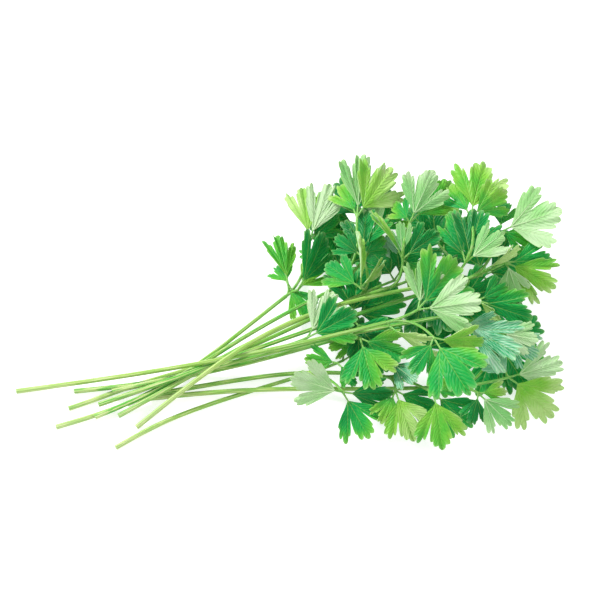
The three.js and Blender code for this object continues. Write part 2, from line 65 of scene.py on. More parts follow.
# Each stem: the stalk's route from its cut end to its crown, and its sprays. Places are right and up across
# the view of someone who looks down at EYE_TILT, and the height above the table. A spray has a hub, and
# leaflets given by their tips, their roll, their breadth and their tone. A tone of 0.1 is deep green, and 1
# pale yellow-green. A tone below 0.07, such as 0.03, puts a painted sheen on the leaflet: pale blue-green
# streaks that stand for light reflected from its glossy face. A spray's branch leaves the stalk at its
# crown, or at the share "from" of its route, or goes on from the hub of the spray with the number "after".
STEMS = [
    {
        "route": [
            (-141.5, -45.5, 1.1), (-100, -40.5, 1.4), (-60, -34, 6.5), (-25, -27, 14), (5, -22.5, 22),
            (24, -16, 29), (42.5, -11, 37)],
        "sprays": [
            {"hub": (58, -4.5, 50), "tips": [
                (89, -1, 56, 172, 0.95, 0.8), (61, 19, 54, 195, 0.8, 0.82), (79, 21, 48, 10, 1, 0.38)]},
            {"hub": (65.5, -19, 47), "tips": [
                (80, -44, 50, 8, 1.05, 0.5), (89, -22, 47, 40, 0.8, 0.8), (54, -36, 40, 0, 1, 0.5)]},
            {"hub": (44, -13, 38), "tips": [(66, -29, 44, 74, 0.7, 0.95)]},
            {"hub": (4, -18.5, 24), "from": 0.7, "tips": [
                (16.5, 4, 31, 176, 0.8, 1.0), (28, -6, 34, 5, 1, 0.35)]},
        ],
    },
    {
        "route": [
            (-112.5, -45.5, 1.1), (-92, -44.5, 1.1), (-50, -38, 4), (-20, -31, 7), (0, -24, 10),
            (20, -19, 16)],
        "sprays": [
            {"hub": (30, -19, 22), "tips": [
                (36, -43, 20, 0, 1.1, 0.44), (51, -28, 24, 5, 1, 0.5), (14, -24, 18, 10, 0.8, 0.42)]},
            {"hub": (44, -30, 18), "tips": [(58, -41, 20, 170, 0.9, 0.03)]},
        ],
    },
    {
        "route": [
            (-115, -54, 1.1), (-80, -49, 1.1), (-50, -38, 1.6), (-20, -24, 5), (0, -11, 10), (18, -3, 14),
            (29, 2, 19)],
        "sprays": [
            {"hub": (31, 22, 28), "tips": [
                (33, 47, 32, -15, 1, 0.14), (17, 32, 26, 0, 0.8, 0.12), (44, 32, 26, 15, 0.8, 0.16)]},
            {"hub": (28.5, 42, 33), "after": 0, "tips": [
                (31, 72, 38, 195, 0.75, 0.8), (47, 67, 36, 15, 0.95, 0.88), (20, 60, 28, 0, 0.7, 0.6)]},
            {"hub": (30, 6, 24), "tips": [
                (12, 19, 24, 5, 0.85, 0.42), (44, 19, 26, 65, 0.7, 0.95), (32, 34, 34, 70, 0.45, 0.9)]},
        ],
    },
    {
        "route": [
            (-121, -63, 1.1), (-95, -58, 1.1), (-60, -43, 1.3), (-42, -26, 2.5), (-25, -11, 5), (-7, 2, 9)],
        "sprays": [
            {"hub": (4.5, 30, 20), "tips": [
                (1.5, 59.5, 24, 5, 0.6, 0.9), (15.5, 58, 26, 172, 0.65, 1.0), (20, 44, 16, 0, 0.8, 0.2)]},
            {"hub": (-6, 8, 11), "tips": [
                (-10.5, 33.5, 14, 40, 0.7, 0.64), (-12, 18, 9, 10, 1, 0.5), (4, -8, 10, 10, 0.85, 0.55)]},
            {"hub": (-1, 5, 14), "tips": [(15.5, 33.5, 20, 40, 0.8, 0.3), (12, 19, 15, 5, 0.9, 0.68)]},
        ],
    },
    {
        "route": [
            (-101.5, -58, 4.4), (-75, -50, 3.2), (-50, -34, 6.5), (-25, -14, 9), (0, -2, 13), (12, 3, 16)],
        "sprays": [
            {"hub": (40, 33, 22), "tips": [
                (52, 47, 24, 0, 0.9, 0.42), (35, 52, 26, 150, 0.8, 0.85), (50, 24, 18, 0, 0.9, 0.03)]},
        ],
    },
    {
        "route": [
            (-90, -57.5, 3.4), (-70, -49, 5), (-40, -28, 9.5), (0, -7, 16), (25, 1, 22), (44, 6, 28)],
        "sprays": [
            {"hub": (51, 21, 32), "tips": [
                (70, 34, 35, 0, 0.9, 0.12), (50, 39, 38, 150, 0.8, 0.6), (62, 8, 28, 10, 0.9, 0.5),
                (38, 46, 44, 65, 0.45, 0.7)]},
            {"hub": (55, 39, 36), "after": 0, "tips": [
                (66, 64, 42, 185, 0.95, 0.66), (78, 61, 38, 0, 0.8, 0.55), (46, 49, 30, 0, 0.8, 0.5)]},
        ],
    },
    {
        "route": [
            (-81, -63.5, 1.1), (-65, -55, 3), (-50, -36, 12), (-36, -23, 14), (0, -3, 21), (42, 4, 31),
            (68, 8, 35)],
        "sprays": [
            {"hub": (82, 19, 38), "tips": [
                (91, 46, 43, 0, 0.9, 0.1), (74, 45, 39, -20, 0.7, 0.12), (101, 33, 42, 155, 0.8, 0.8)]},
            {"hub": (85, 42, 40), "after": 0, "tips": [
                (93, 71, 46, 0, 1, 0.72), (105, 55, 42, 10, 0.9, 0.52), (75, 60, 36, 0, 0.8, 0.45)]},
        ],
    },
    {
        "route": [
            (-91, -73, 1.1), (-75, -62, 1.1), (-50, -53, 1.1), (-25, -46, 1.1), (0, -38, 4)],
        "sprays": [
            {"hub": (21.5, -46, 10), "tips": [
                (34, -68, 5, 0, 1, 0.3), (46, -47, 11, 20, 0.8, 0.2), (-4, -37, 13, 165, 0.95, 0.9)]},
            {"hub": (19, -31, 14), "tips": [(27, -42, 13, 0, 0.8, 0.42), (2, -29, 15, 0, 0.9, 0.55)]},
        ],
    },
    {
        "route": [
            (-93.5, -45.5, 3.8), (-60, -40, 3.8), (-25, -28.5, 10), (0, -20, 15), (40, -14, 26),
            (66, -9, 34)],
        "sprays": [
            {"hub": (88, 0, 40), "tips": [
                (114, -10, 38, 15, 1, 0.3), (104, 7, 38, 0, 0.9, 0.35), (97, -10, 44, 70, 0.7, 0.95)]},
            {"hub": (98, -16, 36), "tips": [(117, -20, 34, 178, 0.9, 1.0), (117, -28, 32, 0, 0.9, 0.03)]},
            {"hub": (79, -12, 42), "tips": [
                (106, -26, 48, 10, 0.8, 0.03), (97, -12, 47, -25, 0.8, 0.05)]},
        ],
    },
    {
        "route": [
            (-86, -52, 1.1), (-50, -45, 1.1), (0, -33, 4), (25, -34, 8), (42, -38, 12)],
        "sprays": [
            {"hub": (47, -45, 13), "tips": [
                (56, -69, 6, 0, 1, 0.74), (40, -61, 8, 0, 0.9, 0.55), (68, -54, 9, 0, 0.8, 0.3)]},
            {"hub": (66, -46, 15), "tips": [
                (70, -73, 6, 0, 1, 0.7), (85, -63, 8, 5, 0.9, 0.2), (79, -40, 20, 0, 0.9, 0.5)]},
        ],
    },
    {
        "route": [
            (-75, -49, 1.1), (-25, -43, 3.5), (0, -43, 2.2), (45, -46, 5), (75, -43, 12)],
        "sprays": [
            {"hub": (104, -38, 18), "tips": [
                (125, -58, 12, 0, 1.15, 0.82), (130, -31, 18, 178, 0.95, 0.95),
                (92, -26, 22, 0, 0.9, 0.03)]},
            {"hub": (88, -46, 16), "tips": [
                (104, -62, 8, 172, 0.95, 0.75), (102, -45, 18, 0, 0.8, 0.6), (84, -61, 10, 0, 0.9, 0.2)]},
        ],
    },
    {
        "route": [
            (-100, -52, 3.8), (-50, -36, 9.5), (0, -14, 12), (50, -2, 20), (82, 10, 28)],
        "sprays": [
            {"hub": (100, 35, 34), "tips": [
                (131, 44, 40, 168, 1.1, 0.9), (117, 28, 32, 10, 0.9, 0.5), (104, 52, 30, 0, 0.8, 0.55)]},
            {"hub": (103, 19, 30), "tips": [
                (126.5, 20, 30, 0, 1, 0.5), (127, 6, 28, 5, 0.9, 0.68), (108, 1, 26, 165, 0.9, 0.85)]},
            {"hub": (92, 15, 34), "tips": [(110, 25, 40, 72, 0.7, 0.95)]},
        ],
    },
]


def place(right, up, height):
    """A point in millimetres, from where it is seen and its height above the table."""
    y = (up - MIDDLE["up"] - height * math.cos(EYE_TILT)) / math.sin(EYE_TILT)
    return np.array([right - MIDDLE["right"], y, height], dtype=float)


def along_route(points, t):
    """A point of the smooth curve through a route, at a share of its spans (centripetal Catmull-Rom)."""
    last = len(points) - 1
    span = min(int(last * t), last - 1)
    weight = last * t - span
    before = points[span - 1] if span > 0 else 2 * points[0] - points[1]
    start, end = points[span], points[span + 1]
    after = points[span + 2] if span + 2 <= last else 2 * points[last] - points[last - 1]
    gaps = [math.sqrt(np.linalg.norm(b - a)) for a, b in ((before, start), (start, end), (end, after))]
    slope_in = (start - before) / gaps[0] - (end - before) / (gaps[0] + gaps[1]) + (end - start) / gaps[1]
    slope_out = (end - start) / gaps[1] - (after - start) / (gaps[1] + gaps[2]) + (after - end) / gaps[2]
    slope_in = slope_in * gaps[1]
    slope_out = slope_out * gaps[1]
    rise = end - start
    return (start + slope_in * weight + (3 * rise - 2 * slope_in - slope_out) * weight ** 2
            + (slope_in + slope_out - 2 * rise) * weight ** 3)


def evenly(points, count):
    """Points at even distances along the curve through a route."""
    shares = np.linspace(0, 1, CURVE_STEPS)
    line = np.array([along_route(points, t) for t in shares])
    lengths = np.concatenate([[0], np.cumsum(np.linalg.norm(np.diff(line, axis=0), axis=1))])
    wanted = np.interp(np.linspace(0, lengths[-1], count), lengths, shares)
    return np.array([along_route(points, t) for t in wanted])


def nearest(p, q, r, t):
    """The closest points of each pair of straight pieces, as shares of their lengths, and their distance."""
    d = q - p
    e = t - r
    w = p - r
    dd, ee, de = (d * d).sum(-1), (e * e).sum(-1), (d * e).sum(-1)
    dw, ew = (d * w).sum(-1), (e * w).sum(-1)
    slope = dd * ee - de * de
    sure = slope > PARALLEL
    a = np.where(sure, np.clip((de * ew - dw * ee) / np.where(sure, slope, 1), 0, 1), 0.5)
    b = np.clip((de * a + ew) / ee, 0, 1)
    a = np.clip((de * b - dw) / dd, 0, 1)
    return a, b, np.linalg.norm((p + d * a[..., None]) - (r + e * b[..., None]), axis=-1)


def settle_stalks(routes):
    """Bends the stalks over and under each other along the line of sight, none of them lower than REST."""
    count = len(routes)
    owner = np.repeat(np.arange(count), STALK_POINTS - 1)
    first = np.tile(np.arange(STALK_POINTS - 1), count)
    one, two = np.nonzero(owner[:, None] < owner[None, :])
    for _ in range(STALK_ROUNDS):
        start, end = routes[owner, first], routes[owner, first + 1]
        p, q, r, t = start[one], end[one], start[two], end[two]
        a, b, distance = nearest(p, q, r, t)
        missing = np.maximum(2 * STALK_CLEAR - distance, 0)
        higher = (p + (q - p) * a[:, None]) @ TO_EYE >= (r + (t - r) * b[:, None]) @ TO_EYE
        push = np.where(higher, 1, -1) * missing
        lifts = np.zeros((count, STALK_POINTS))
        np.add.at(lifts, (owner[one], first[one]), push * (1 - a))
        np.add.at(lifts, (owner[one], first[one] + 1), push * a)
        np.add.at(lifts, (owner[two], first[two]), -push * (1 - b))
        np.add.at(lifts, (owner[two], first[two] + 1), -push * b)
        routes = routes + EASE * lifts[..., None] * TO_EYE
        middles = routes.copy()
        middles[:, 1:-1] = (routes[:, :-2] + routes[:, 2:]) / 2
        routes = routes + SMOOTH * (middles - routes)
        routes[..., 2] = np.maximum(routes[..., 2], REST)
    return routes


stalk_routes = settle_stalks(np.array(
    [evenly([place(*point) for point in stem["route"]], STALK_POINTS) for stem in STEMS]))


class Shape:
    """The points, faces and marks of one piece while it is put together."""

    def __init__(self):
        self.points, self.faces, self.finish, self.marks = [], [], [], []
        self.count = 0

    def add(self, points, faces, finish, marks):
        """Adds points in millimetres, faces by their points, their finish, and each point's marks.

        The marks are u and v, a point's place on its leaflet's flat plan or round its stalk, then the tone,
        the age, and the edge: the share of the way from root to rim, or along a stalk.
        """
        self.points.append(np.asarray(points, dtype=float))
        self.faces += [tuple(int(k) + self.count for k in face) for face in faces]
        self.finish += [finish] * len(faces)
        self.marks.append(np.asarray(marks, dtype=float))
        self.count += len(points)


STALK_FINISH, BLADE_FINISH, UNDERSIDE_FINISH = 0, 1, 2


def taper(start, end):
    """A radius that goes evenly from one end of a rod to the other."""
    return lambda share: start + (end - start) * share


def rod(shape, curve, rings, sides, radius_at, mark_at, ribs=0, finish=STALK_FINISH):
    """A closed round rod along a curve. radius_at and mark_at take the share of the way along it."""
    shares = np.linspace(0, 1, rings)
    line = np.array([curve(share) for share in shares])
    ways = np.gradient(line, axis=0)
    ways /= np.linalg.norm(ways, axis=1, keepdims=True)
    across = np.cross(ways[0], SKEW)
    points, marks = [], []
    angles = 2 * math.pi * np.arange(sides) / sides
    round_it = np.column_stack([np.cos(angles), np.sin(angles)])
    on_blade = finish != STALK_FINISH
    for share, middle, way in zip(shares, line, ways):
        across = across - way * (across @ way)
        across /= np.linalg.norm(across)
        radius = radius_at(share) * (1 + ribs * np.cos(RIBS * angles))
        points.append(middle + radius[:, None] * (round_it @ np.array([across, np.cross(way, across)])))
        tone, age = mark_at(share)
        plane, edge = (0 * round_it, 0) if on_blade else (round_it, share)
        marks.append(np.column_stack([plane, np.tile((tone, age, edge), (sides, 1))]))
    faces = []
    for ring in range(rings - 1):
        for side in range(sides):
            a, b = ring * sides + side, ring * sides + (side + 1) % sides
            faces.append((a, b, b + sides, a + sides))
    faces.append(tuple(range(sides - 1, -1, -1)))
    faces.append(tuple((rings - 1) * sides + k for k in range(sides)))
    shape.add(np.concatenate(points), faces, finish, np.concatenate(marks))


STALK_TINTS = (0.15, 0.8, 0.35, 0.2, 1.0, 0.5, 0.1, 0.25, 0.9, 0.6, 0.4, 0.95)
shapes = [Shape() for _ in STEMS]
for shape, route, tint in zip(shapes, stalk_routes, STALK_TINTS):
    evened = evenly(route, EVENED_POINTS)
    rod(shape, lambda share: along_route(evened, share), STALK_RINGS, STALK_SIDES,
        taper(STALK_RADIUS, CROWN_RADIUS), lambda share: (tint, CROWN_AGE * share), RIB_DEPTH)


# The sprays' places.
# Each leaflet hangs on its spray's hub, droops and folds by a seeded draw, and is then moved along the line
# of sight until it clears its neighbours, as in the frame. Sprays deep in the heap fan out by rule.
PETIOLE_SHARE = 0.16  # of the way from hub to tip; the blade is the rest
DROOP = (0.04, 0.16)
FOLD = (-0.16, 0.1)
CUT = (0.8, 1.2)  # how deep the notches between the lobes are
WAVE = 0.05
WAVES = 5
BRANCH_BOW = 0.45
LEAF_CLEAR = 2.4
BRANCH_CLEAR = 1.9
LEAF_ROUNDS = 240
TOGETHER = 0.08  # leaflets of one spray stay near each other
CLOSE = 2  # beads nearer than this many clearances decide which piece lies over the other
HOLD = 0.004  # draws a leaflet back to where it was put
FLOOR_CLEAR = 0.5
STALK_BEADS = 80
BRANCH_BEADS = 10
BEAD_RINGS = (1, 3, 5, 7, 9)  # beads in each row of a blade, from its root to its tip
BEAD_TURN = 46
BEAD_REACH = 0.92
BEAD_REACH_FALL = 0.003  # for each degree from the midrib
PETIOLE_BEAD = -0.1
INNER_BEADS = 6  # near the root, where leaflets of one spray may touch
DEEP_SPRAYS = [
    {"stem": 1, "hub": (26, -9, 8), "heading": 20, "count": 3},
    {"stem": 2, "hub": (48, 10, 12), "heading": 70, "count": 2},
    {"stem": 4, "hub": (30, 40, 8), "heading": 110, "count": 3},
    {"stem": 4, "hub": (22, 14, 5), "heading": 60, "count": 2},
    {"stem": 5, "hub": (60, 12, 20), "heading": -65, "count": 2},
    {"stem": 6, "hub": (72, 26, 12), "heading": 70, "count": 2},
    {"stem": 7, "hub": (22, -30, 6), "heading": 30, "count": 2},
    {"stem": 9, "hub": (60, -28, 5), "heading": -20, "count": 2},
    {"stem": 10, "hub": (98, -20, 8), "heading": -50, "count": 3},
    {"stem": 11, "hub": (92, 12, 10), "heading": 30, "count": 3},
    {"stem": 11, "hub": (78, 0, 18), "heading": -60, "count": 2},
]
DEEP_FAN = (0, 65, -65)
DEEP_TURN = 15
DEEP_LENGTH = (25, 30)
DEEP_RISE = (-5, 4)
DEEP_LOWEST = 3
DEEP_ROLL = 25
DEEP_BREADTH = 1.2
# The deep sprays' dark green is partly their own colour and partly painted shade, for the shadow deep inside
# the heap.
DEEP_TONE = 0.13
DRAW_FACTOR = 1664525
DRAW_STEP = 1013904223
DRAW_RANGE = 4294967296
draw_state = 7


def draw(low, high):
    """A seeded draw between two limits."""
    global draw_state
    draw_state = (draw_state * DRAW_FACTOR + DRAW_STEP) % DRAW_RANGE
    return low + ((high - low) * draw_state) / DRAW_RANGE


def deep_tips(hub, heading, count):
    """The tips of a spray deep in the heap, fanned out round its heading."""
    tips = []
    for turn in DEEP_FAN[:count]:
        angle = math.radians(heading + turn + draw(-DEEP_TURN, DEEP_TURN))
        length = draw(*DEEP_LENGTH)
        height = max(DEEP_LOWEST, hub[2] + draw(*DEEP_RISE))
        tips.append((hub[0] + length * math.cos(angle), hub[1] + length * math.sin(angle), height,
                     draw(-DEEP_ROLL, DEEP_ROLL), DEEP_BREADTH, DEEP_TONE))
    return tips


class Leaflet:
    """One leaflet's own frame, and how far it droops, folds, waves and is cut."""

    def __init__(self, hub, right, up, height, roll, breadth, tone):
        tip = place(right, up, height)
        reach = np.linalg.norm(tip - hub)
        self.axis = (tip - hub) / reach
        self.length = reach * (1 - PETIOLE_SHARE)
        self.base = hub + (tip - hub) * PETIOLE_SHARE
        facing = TO_EYE - self.axis * (TO_EYE @ self.axis)
        facing /= np.linalg.norm(facing)
        turn = math.radians(roll)
        self.normal = facing * math.cos(turn) + np.cross(self.axis, facing) * math.sin(turn)
        self.side = np.cross(self.normal, self.axis)
        self.breadth, self.tone, self.shift = breadth, tone, 0.0
        self.droop = draw(*DROOP)
        self.fold = draw(*FOLD)
        self.phase = draw(0, 2 * math.pi)
        self.cut = draw(*CUT)
        self.still_beads = self.beads()

    def point(self, turn, reach, share):
        """The blade at a turn from the midrib, a reach of its rim and a share of the way there."""
        angle = np.radians(turn * self.breadth)
        out = self.length * reach * share
        lift = out * (-self.droop * share + self.fold * np.abs(np.sin(angle))
                      + WAVE * share * np.sin(WAVES * angle + self.phase))
        return (self.base + np.multiply.outer(out * np.cos(angle), self.axis)
                + np.multiply.outer(out * np.sin(angle), self.side)
                + np.multiply.outer(lift, self.normal) + TO_EYE * self.shift)

    def beads(self):
        """Points over the blade and on its stalk, which stand for the leaflet while it settles."""
        turns, reaches, shares = [0.0, 0.0], [1.0, 1.0], [PETIOLE_BEAD, 0.0]
        for ring, count in enumerate(BEAD_RINGS):
            for k in range(count):
                turn = BEAD_TURN * (2 * k / (count - 1) - 1) if count > 1 else 0.0
                turns.append(turn)
                reaches.append(BEAD_REACH - BEAD_REACH_FALL * abs(turn))
                shares.append((ring + 1) / len(BEAD_RINGS))
        return self.point(np.array(turns), np.array(reaches), np.array(shares))


def heading_at(curve, t, step=1e-4):
    """The direction of a curve at a share of the way along it."""
    way = curve(min(1.0, t + step)) - curve(max(0.0, t - step))
    return way / np.linalg.norm(way)


class Spray:
    """A hub, what carries it, and the leaflets on it."""

    def __init__(self, hub, tips, carrier, start):
        self.hub = place(*hub)
        self.carrier, self.start = carrier, start
        self.leaflets = [Leaflet(self.hub, *tip) for tip in tips]

    def branch(self, route):
        """The branch to the hub, after the leaflets have moved, as a function of the share along it."""
        end = self.hub + TO_EYE * np.mean([leaf.shift for leaf in self.leaflets])
        if self.carrier:
            carried = self.carrier.branch(route)
            start, heading = carried(1.0), heading_at(carried, 1.0)
        else:
            start = along_route(route, self.start)
            heading = heading_at(lambda t: along_route(route, t), self.start)
        middle = start + heading * BRANCH_BOW * np.linalg.norm(end - start)
        return lambda t: start * (1 - t) ** 2 + middle * 2 * t * (1 - t) + end * t ** 2


def make_sprays(index, stem):
    """A stem's sprays. The deep ones' tips are drawn first, before any leaflet is."""
    deep = [(spray["hub"], deep_tips(spray["hub"], spray["heading"], spray["count"]))
            for spray in DEEP_SPRAYS if spray["stem"] == index]
    sprays = []
    for row in stem["sprays"]:
        carrier = sprays[row["after"]] if "after" in row else None
        sprays.append(Spray(row["hub"], row["tips"], carrier, row.get("from", 1.0)))
    return sprays + [Spray(hub, tips, None, 1.0) for hub, tips in deep]


class Element:
    """A stalk, a branch or a leaflet, as beads that others keep clear of."""

    def __init__(self, stem, spray=None, leaf=None):
        self.stem, self.spray, self.leaf = stem, spray, leaf
        self.leaves = [leaf] if leaf else (spray.leaflets if spray else [])
        self.clear = LEAF_CLEAR if leaf else BRANCH_CLEAR
        if not spray:
            self.points = np.array([along_route(stalk_routes[stem], (k + 1) / (STALK_BEADS + 1))
                                    for k in range(STALK_BEADS)])

    def refresh(self):
        """Puts the beads where the piece is now."""
        if self.leaf:
            self.points = self.leaf.still_beads + TO_EYE * self.leaf.shift
        elif self.spray:
            branch = self.spray.branch(stalk_routes[self.stem])
            self.points = np.array([branch((k + 1) / (BRANCH_BEADS + 1)) for k in range(BRANCH_BEADS)])
        self.centre = self.points.mean(0)
        self.radius = np.linalg.norm(self.points - self.centre, axis=1).max()
        self.push = 0.0


def clearance(a, b):
    """What is kept between two elements: on one stem only blades keep clear, and less within a spray."""
    if not a.leaves and not b.leaves:
        return 0
    if a.stem != b.stem:
        return a.clear + b.clear
    if not (a.leaf and b.leaf):
        return 0
    return a.clear if a.spray is b.spray else a.clear + b.clear


def settle_leaflets(all_sprays):
    """Moves blades that come too near anything apart along the line of sight, and up off the table."""
    elements = []
    for index, sprays in enumerate(all_sprays):
        elements.append(Element(index))
        for spray in sprays:
            elements.append(Element(index, spray))
            elements += [Element(index, spray, leaf) for leaf in spray.leaflets]
    clears = np.array([[clearance(a, b) for b in elements] for a in elements], dtype=float)
    for _ in range(LEAF_ROUNDS):
        for element in elements:
            element.refresh()
        centres = np.array([element.centre for element in elements])
        radii = np.array([element.radius for element in elements])
        apart = np.linalg.norm(centres[:, None] - centres[None], axis=-1)
        meet = np.triu((clears > 0) & (apart <= radii[:, None] + radii[None] + clears), 1)
        for i, j in zip(*np.nonzero(meet)):
            a, b = elements[i], elements[j]
            skip = INNER_BEADS if a.spray is b.spray else 0
            one, two = a.points[skip:], b.points[skip:]
            gaps = np.sqrt(((one[:, None] - two[None]) ** 2).sum(-1))
            missing = clears[i, j] - gaps.min()
            if missing <= 0:
                continue
            depths = (one @ TO_EYE)[:, None] - (two @ TO_EYE)[None]
            over = 1 if depths[gaps < CLOSE * clears[i, j]].sum() > 0 else -1
            push = EASE * missing * over
            a.push += push * (1 if b.leaves else 2)  # a stalk stays, so its neighbour moves for both
            b.push -= push * (1 if a.leaves else 2)
        for element in elements:
            for leaf in element.leaves:
                leaf.shift += element.push
        for spray in (spray for sprays in all_sprays for spray in sprays):
            mean = np.mean([leaf.shift for leaf in spray.leaflets])
            for leaf in spray.leaflets:
                leaf.shift += TOGETHER * (mean - leaf.shift) - HOLD * leaf.shift
                lowest = (leaf.still_beads[:, 2] + TO_EYE[2] * leaf.shift).min() - FLOOR_CLEAR
                if lowest < 0:
                    leaf.shift -= lowest / TO_EYE[2]


all_sprays = [make_sprays(index, stem) for index, stem in enumerate(STEMS)]
settle_leaflets(all_sprays)


# The leaflets.
# A parsley leaflet is a thin wedge cut into three lobes with rounded teeth, on a short stalk. Three main
# veins run from its root to the lobes and stand out underneath. Each blade is a sheet first, and gets its
# thickness later. Turns are in degrees from the midrib, and reaches are shares of the leaflet's length.
BRANCH_RADIUS = 0.8
HUB_RADIUS = 0.65
BRANCH_RINGS = 16
BRANCH_SIDES = 10
BRANCH_TONE = 0.5
BRANCH_AGING = 0.2
PETIOLES_LEAVE = 0.97  # the share of its branch at which a leaflet's stalk starts
PETIOLE_RADIUS = 0.55
PETIOLE_TIP_RADIUS = 0.42
PETIOLE_RINGS = 5
PETIOLE_SIDES = 8
PETIOLE_AGE = 0.9
PETIOLE_AGING = 0.1
BLADE_THICKNESS = 0.3
RIM = [
    (0, 1.0), (4.8, 0.87), (9.4, 0.96), (12.8, 0.8), (15.8, 0.83), (21, 0.43), (25.6, 0.8), (28.6, 0.75),
    (32.8, 0.94), (37, 0.79), (41, 0.88), (44.4, 0.7), (47.6, 0.68), (51, 0.36)]
SINUS = 5  # the row of RIM that is the notch between two lobes
REACH_SPREAD = 0.035
REACH_BEAT = 2.4
TURN_SPREAD = 0.6
TURN_BEAT = 4.1
NARROW_FILL = 0.2  # a narrow leaflet's teeth are cut less deep
COLUMNS = 4
INNER_SHARES = (0.03, 0.1, 0.18, 0.26, 0.34, 0.42)
OUTER_SHARES = (0.5, 0.58, 0.66, 0.74, 0.82, 0.89, 0.95, 1.0)
VEIN_TURN = 31
MAIN_VEINS = ((0, 0.86, 0.4), (-VEIN_TURN, 0.74, 0.3), (VEIN_TURN, 0.74, 0.3))  # turn, end and root's radius
VEIN_START = 0.03
VEIN_TAPER = 0.75
VEIN_RINGS = 9
VEIN_SIDES = 5
VEIN_SINK = 0.12
ROOT_SINK = 0.15
ROOT_FAN = 0.88
RIM_FAN = 0.12
HALF_FAN = 50
SIDE_SHORTER = 0.1
VALLEY_TURN = 15
VALLEY_DEPTH = 0.055
RUFFLE = 0.03
RUFFLE_BEAT = 0.42
FINE_RUFFLE = 0.012
FINE_BEAT = 0.95
RUFFLE_SINK = 0.012


def rim_of(leaf):
    """Turns and reaches of a blade's rim: COLUMNS steps from each notch up the round flank of its tooth."""
    half = []
    for k, (turn, reach) in enumerate(RIM):
        if k == SINUS:
            reach *= leaf.cut
        elif 0 < k < len(RIM) - 1:
            reach *= 1 + REACH_SPREAD * math.sin(REACH_BEAT * k + leaf.phase)
            turn += TURN_SPREAD * math.sin(TURN_BEAT * k + 2 * leaf.phase)
            if k % 2 == 1:
                reach += NARROW_FILL * max(0.0, 1 - leaf.breadth)
        half.append((turn, reach))
    turns, reaches = [], []
    for k, ((t0, r0), (t1, r1)) in enumerate(zip(half, half[1:])):
        for step in range(COLUMNS):
            angle = 0.5 * math.pi * step / COLUMNS
            across = math.sin(angle) if k % 2 == 0 else 1 - math.cos(angle)
            if k in (SINUS - 1, SINUS):
                across = step / COLUMNS
            up = 1 - math.cos(angle) if k % 2 == 0 else math.sin(angle)
            turns.append(t0 + (t1 - t0) * across)
            reaches.append(r0 + (r1 - r0) * up)
    turns.append(half[-1][0])
    reaches.append(half[-1][1])
    turns, reaches = np.array(turns), np.array(reaches)
    return np.concatenate([-turns[:0:-1], turns]), np.concatenate([reaches[:0:-1], reaches])


def sheet_point(leaf, turns, reaches, share):
    """The blade's sheet: the frame's form, with valleys along the main veins and ruffled margins."""
    turns = turns * (ROOT_FAN + RIM_FAN * share)
    angles = np.radians(turns * leaf.breadth)
    out = leaf.length * reaches * share
    along = out / (leaf.length * (1 - SIDE_SHORTER * (turns / HALF_FAN) ** 2))
    valley = np.minimum(np.abs(np.abs(turns) - VEIN_TURN), np.abs(turns)) / VALLEY_TURN
    lift = out * (-leaf.droop * along + leaf.fold * np.abs(np.sin(angles))
                  + WAVE * along * np.sin(WAVES * angles + leaf.phase)
                  + VALLEY_DEPTH * (valley - 0.5))
    ruffle = leaf.length * along ** 3 * (
        RUFFLE * np.sin(RUFFLE_BEAT * turns + 3 * leaf.phase)
        + FINE_RUFFLE * np.sin(FINE_BEAT * turns + leaf.phase) - RUFFLE_SINK)
    return (leaf.base + np.multiply.outer(out * np.cos(angles), leaf.axis)
            + np.multiply.outer(out * np.sin(angles), leaf.side)
            + np.multiply.outer(lift + ruffle, leaf.normal) + TO_EYE * leaf.shift)


def add_blade(shape, leaf):
    """The blade's sheet, in rows from root to rim, the outer rows with COLUMNS times as many faces."""
    all_turns, all_reaches = rim_of(leaf)
    points, marks, faces = [], [], []
    age = draw(0, 1)

    def add_row(turns, reaches, share):
        points.append(sheet_point(leaf, turns, reaches, share))
        angles = np.radians(turns)
        marks.append(np.column_stack([
            reaches * share * np.cos(angles), reaches * share * np.sin(angles),
            np.full(len(turns), leaf.tone), np.full(len(turns), age), np.full(len(turns), share)]))

    add_row(np.zeros(1), np.ones(1), 0.0)
    for share in INNER_SHARES:
        add_row(all_turns[::COLUMNS], all_reaches[::COLUMNS], share)
    for share in OUTER_SHARES:
        add_row(all_turns, all_reaches, share)
    outer_columns = len(all_turns) - 1
    inner_columns = outer_columns // COLUMNS

    def inner_row(row):
        return 1 + row * (inner_columns + 1)

    def outer_row(row):
        return inner_row(len(INNER_SHARES)) + row * (outer_columns + 1)

    def bands(row_start, rows, columns):
        for row in range(rows - 1):
            a, b = row_start(row), row_start(row + 1)
            faces.extend((a + k, b + k, b + k + 1, a + k + 1) for k in range(columns))

    for k in range(inner_columns):
        faces.append((0, 1 + k, 2 + k))
    bands(inner_row, len(INNER_SHARES), inner_columns)
    a, b = inner_row(len(INNER_SHARES) - 1), outer_row(0)
    half = COLUMNS // 2
    for k in range(inner_columns):
        m = b + COLUMNS * k
        faces += [(a + k, m + j, m + j + 1) for j in range(half)]
        faces.append((a + k, m + half, a + k + 1))
        faces += [(a + k + 1, m + j, m + j + 1) for j in range(half, COLUMNS)]
    bands(outer_row, len(OUTER_SHARES), outer_columns)
    shape.add(np.concatenate(points), faces, BLADE_FINISH, np.concatenate(marks))


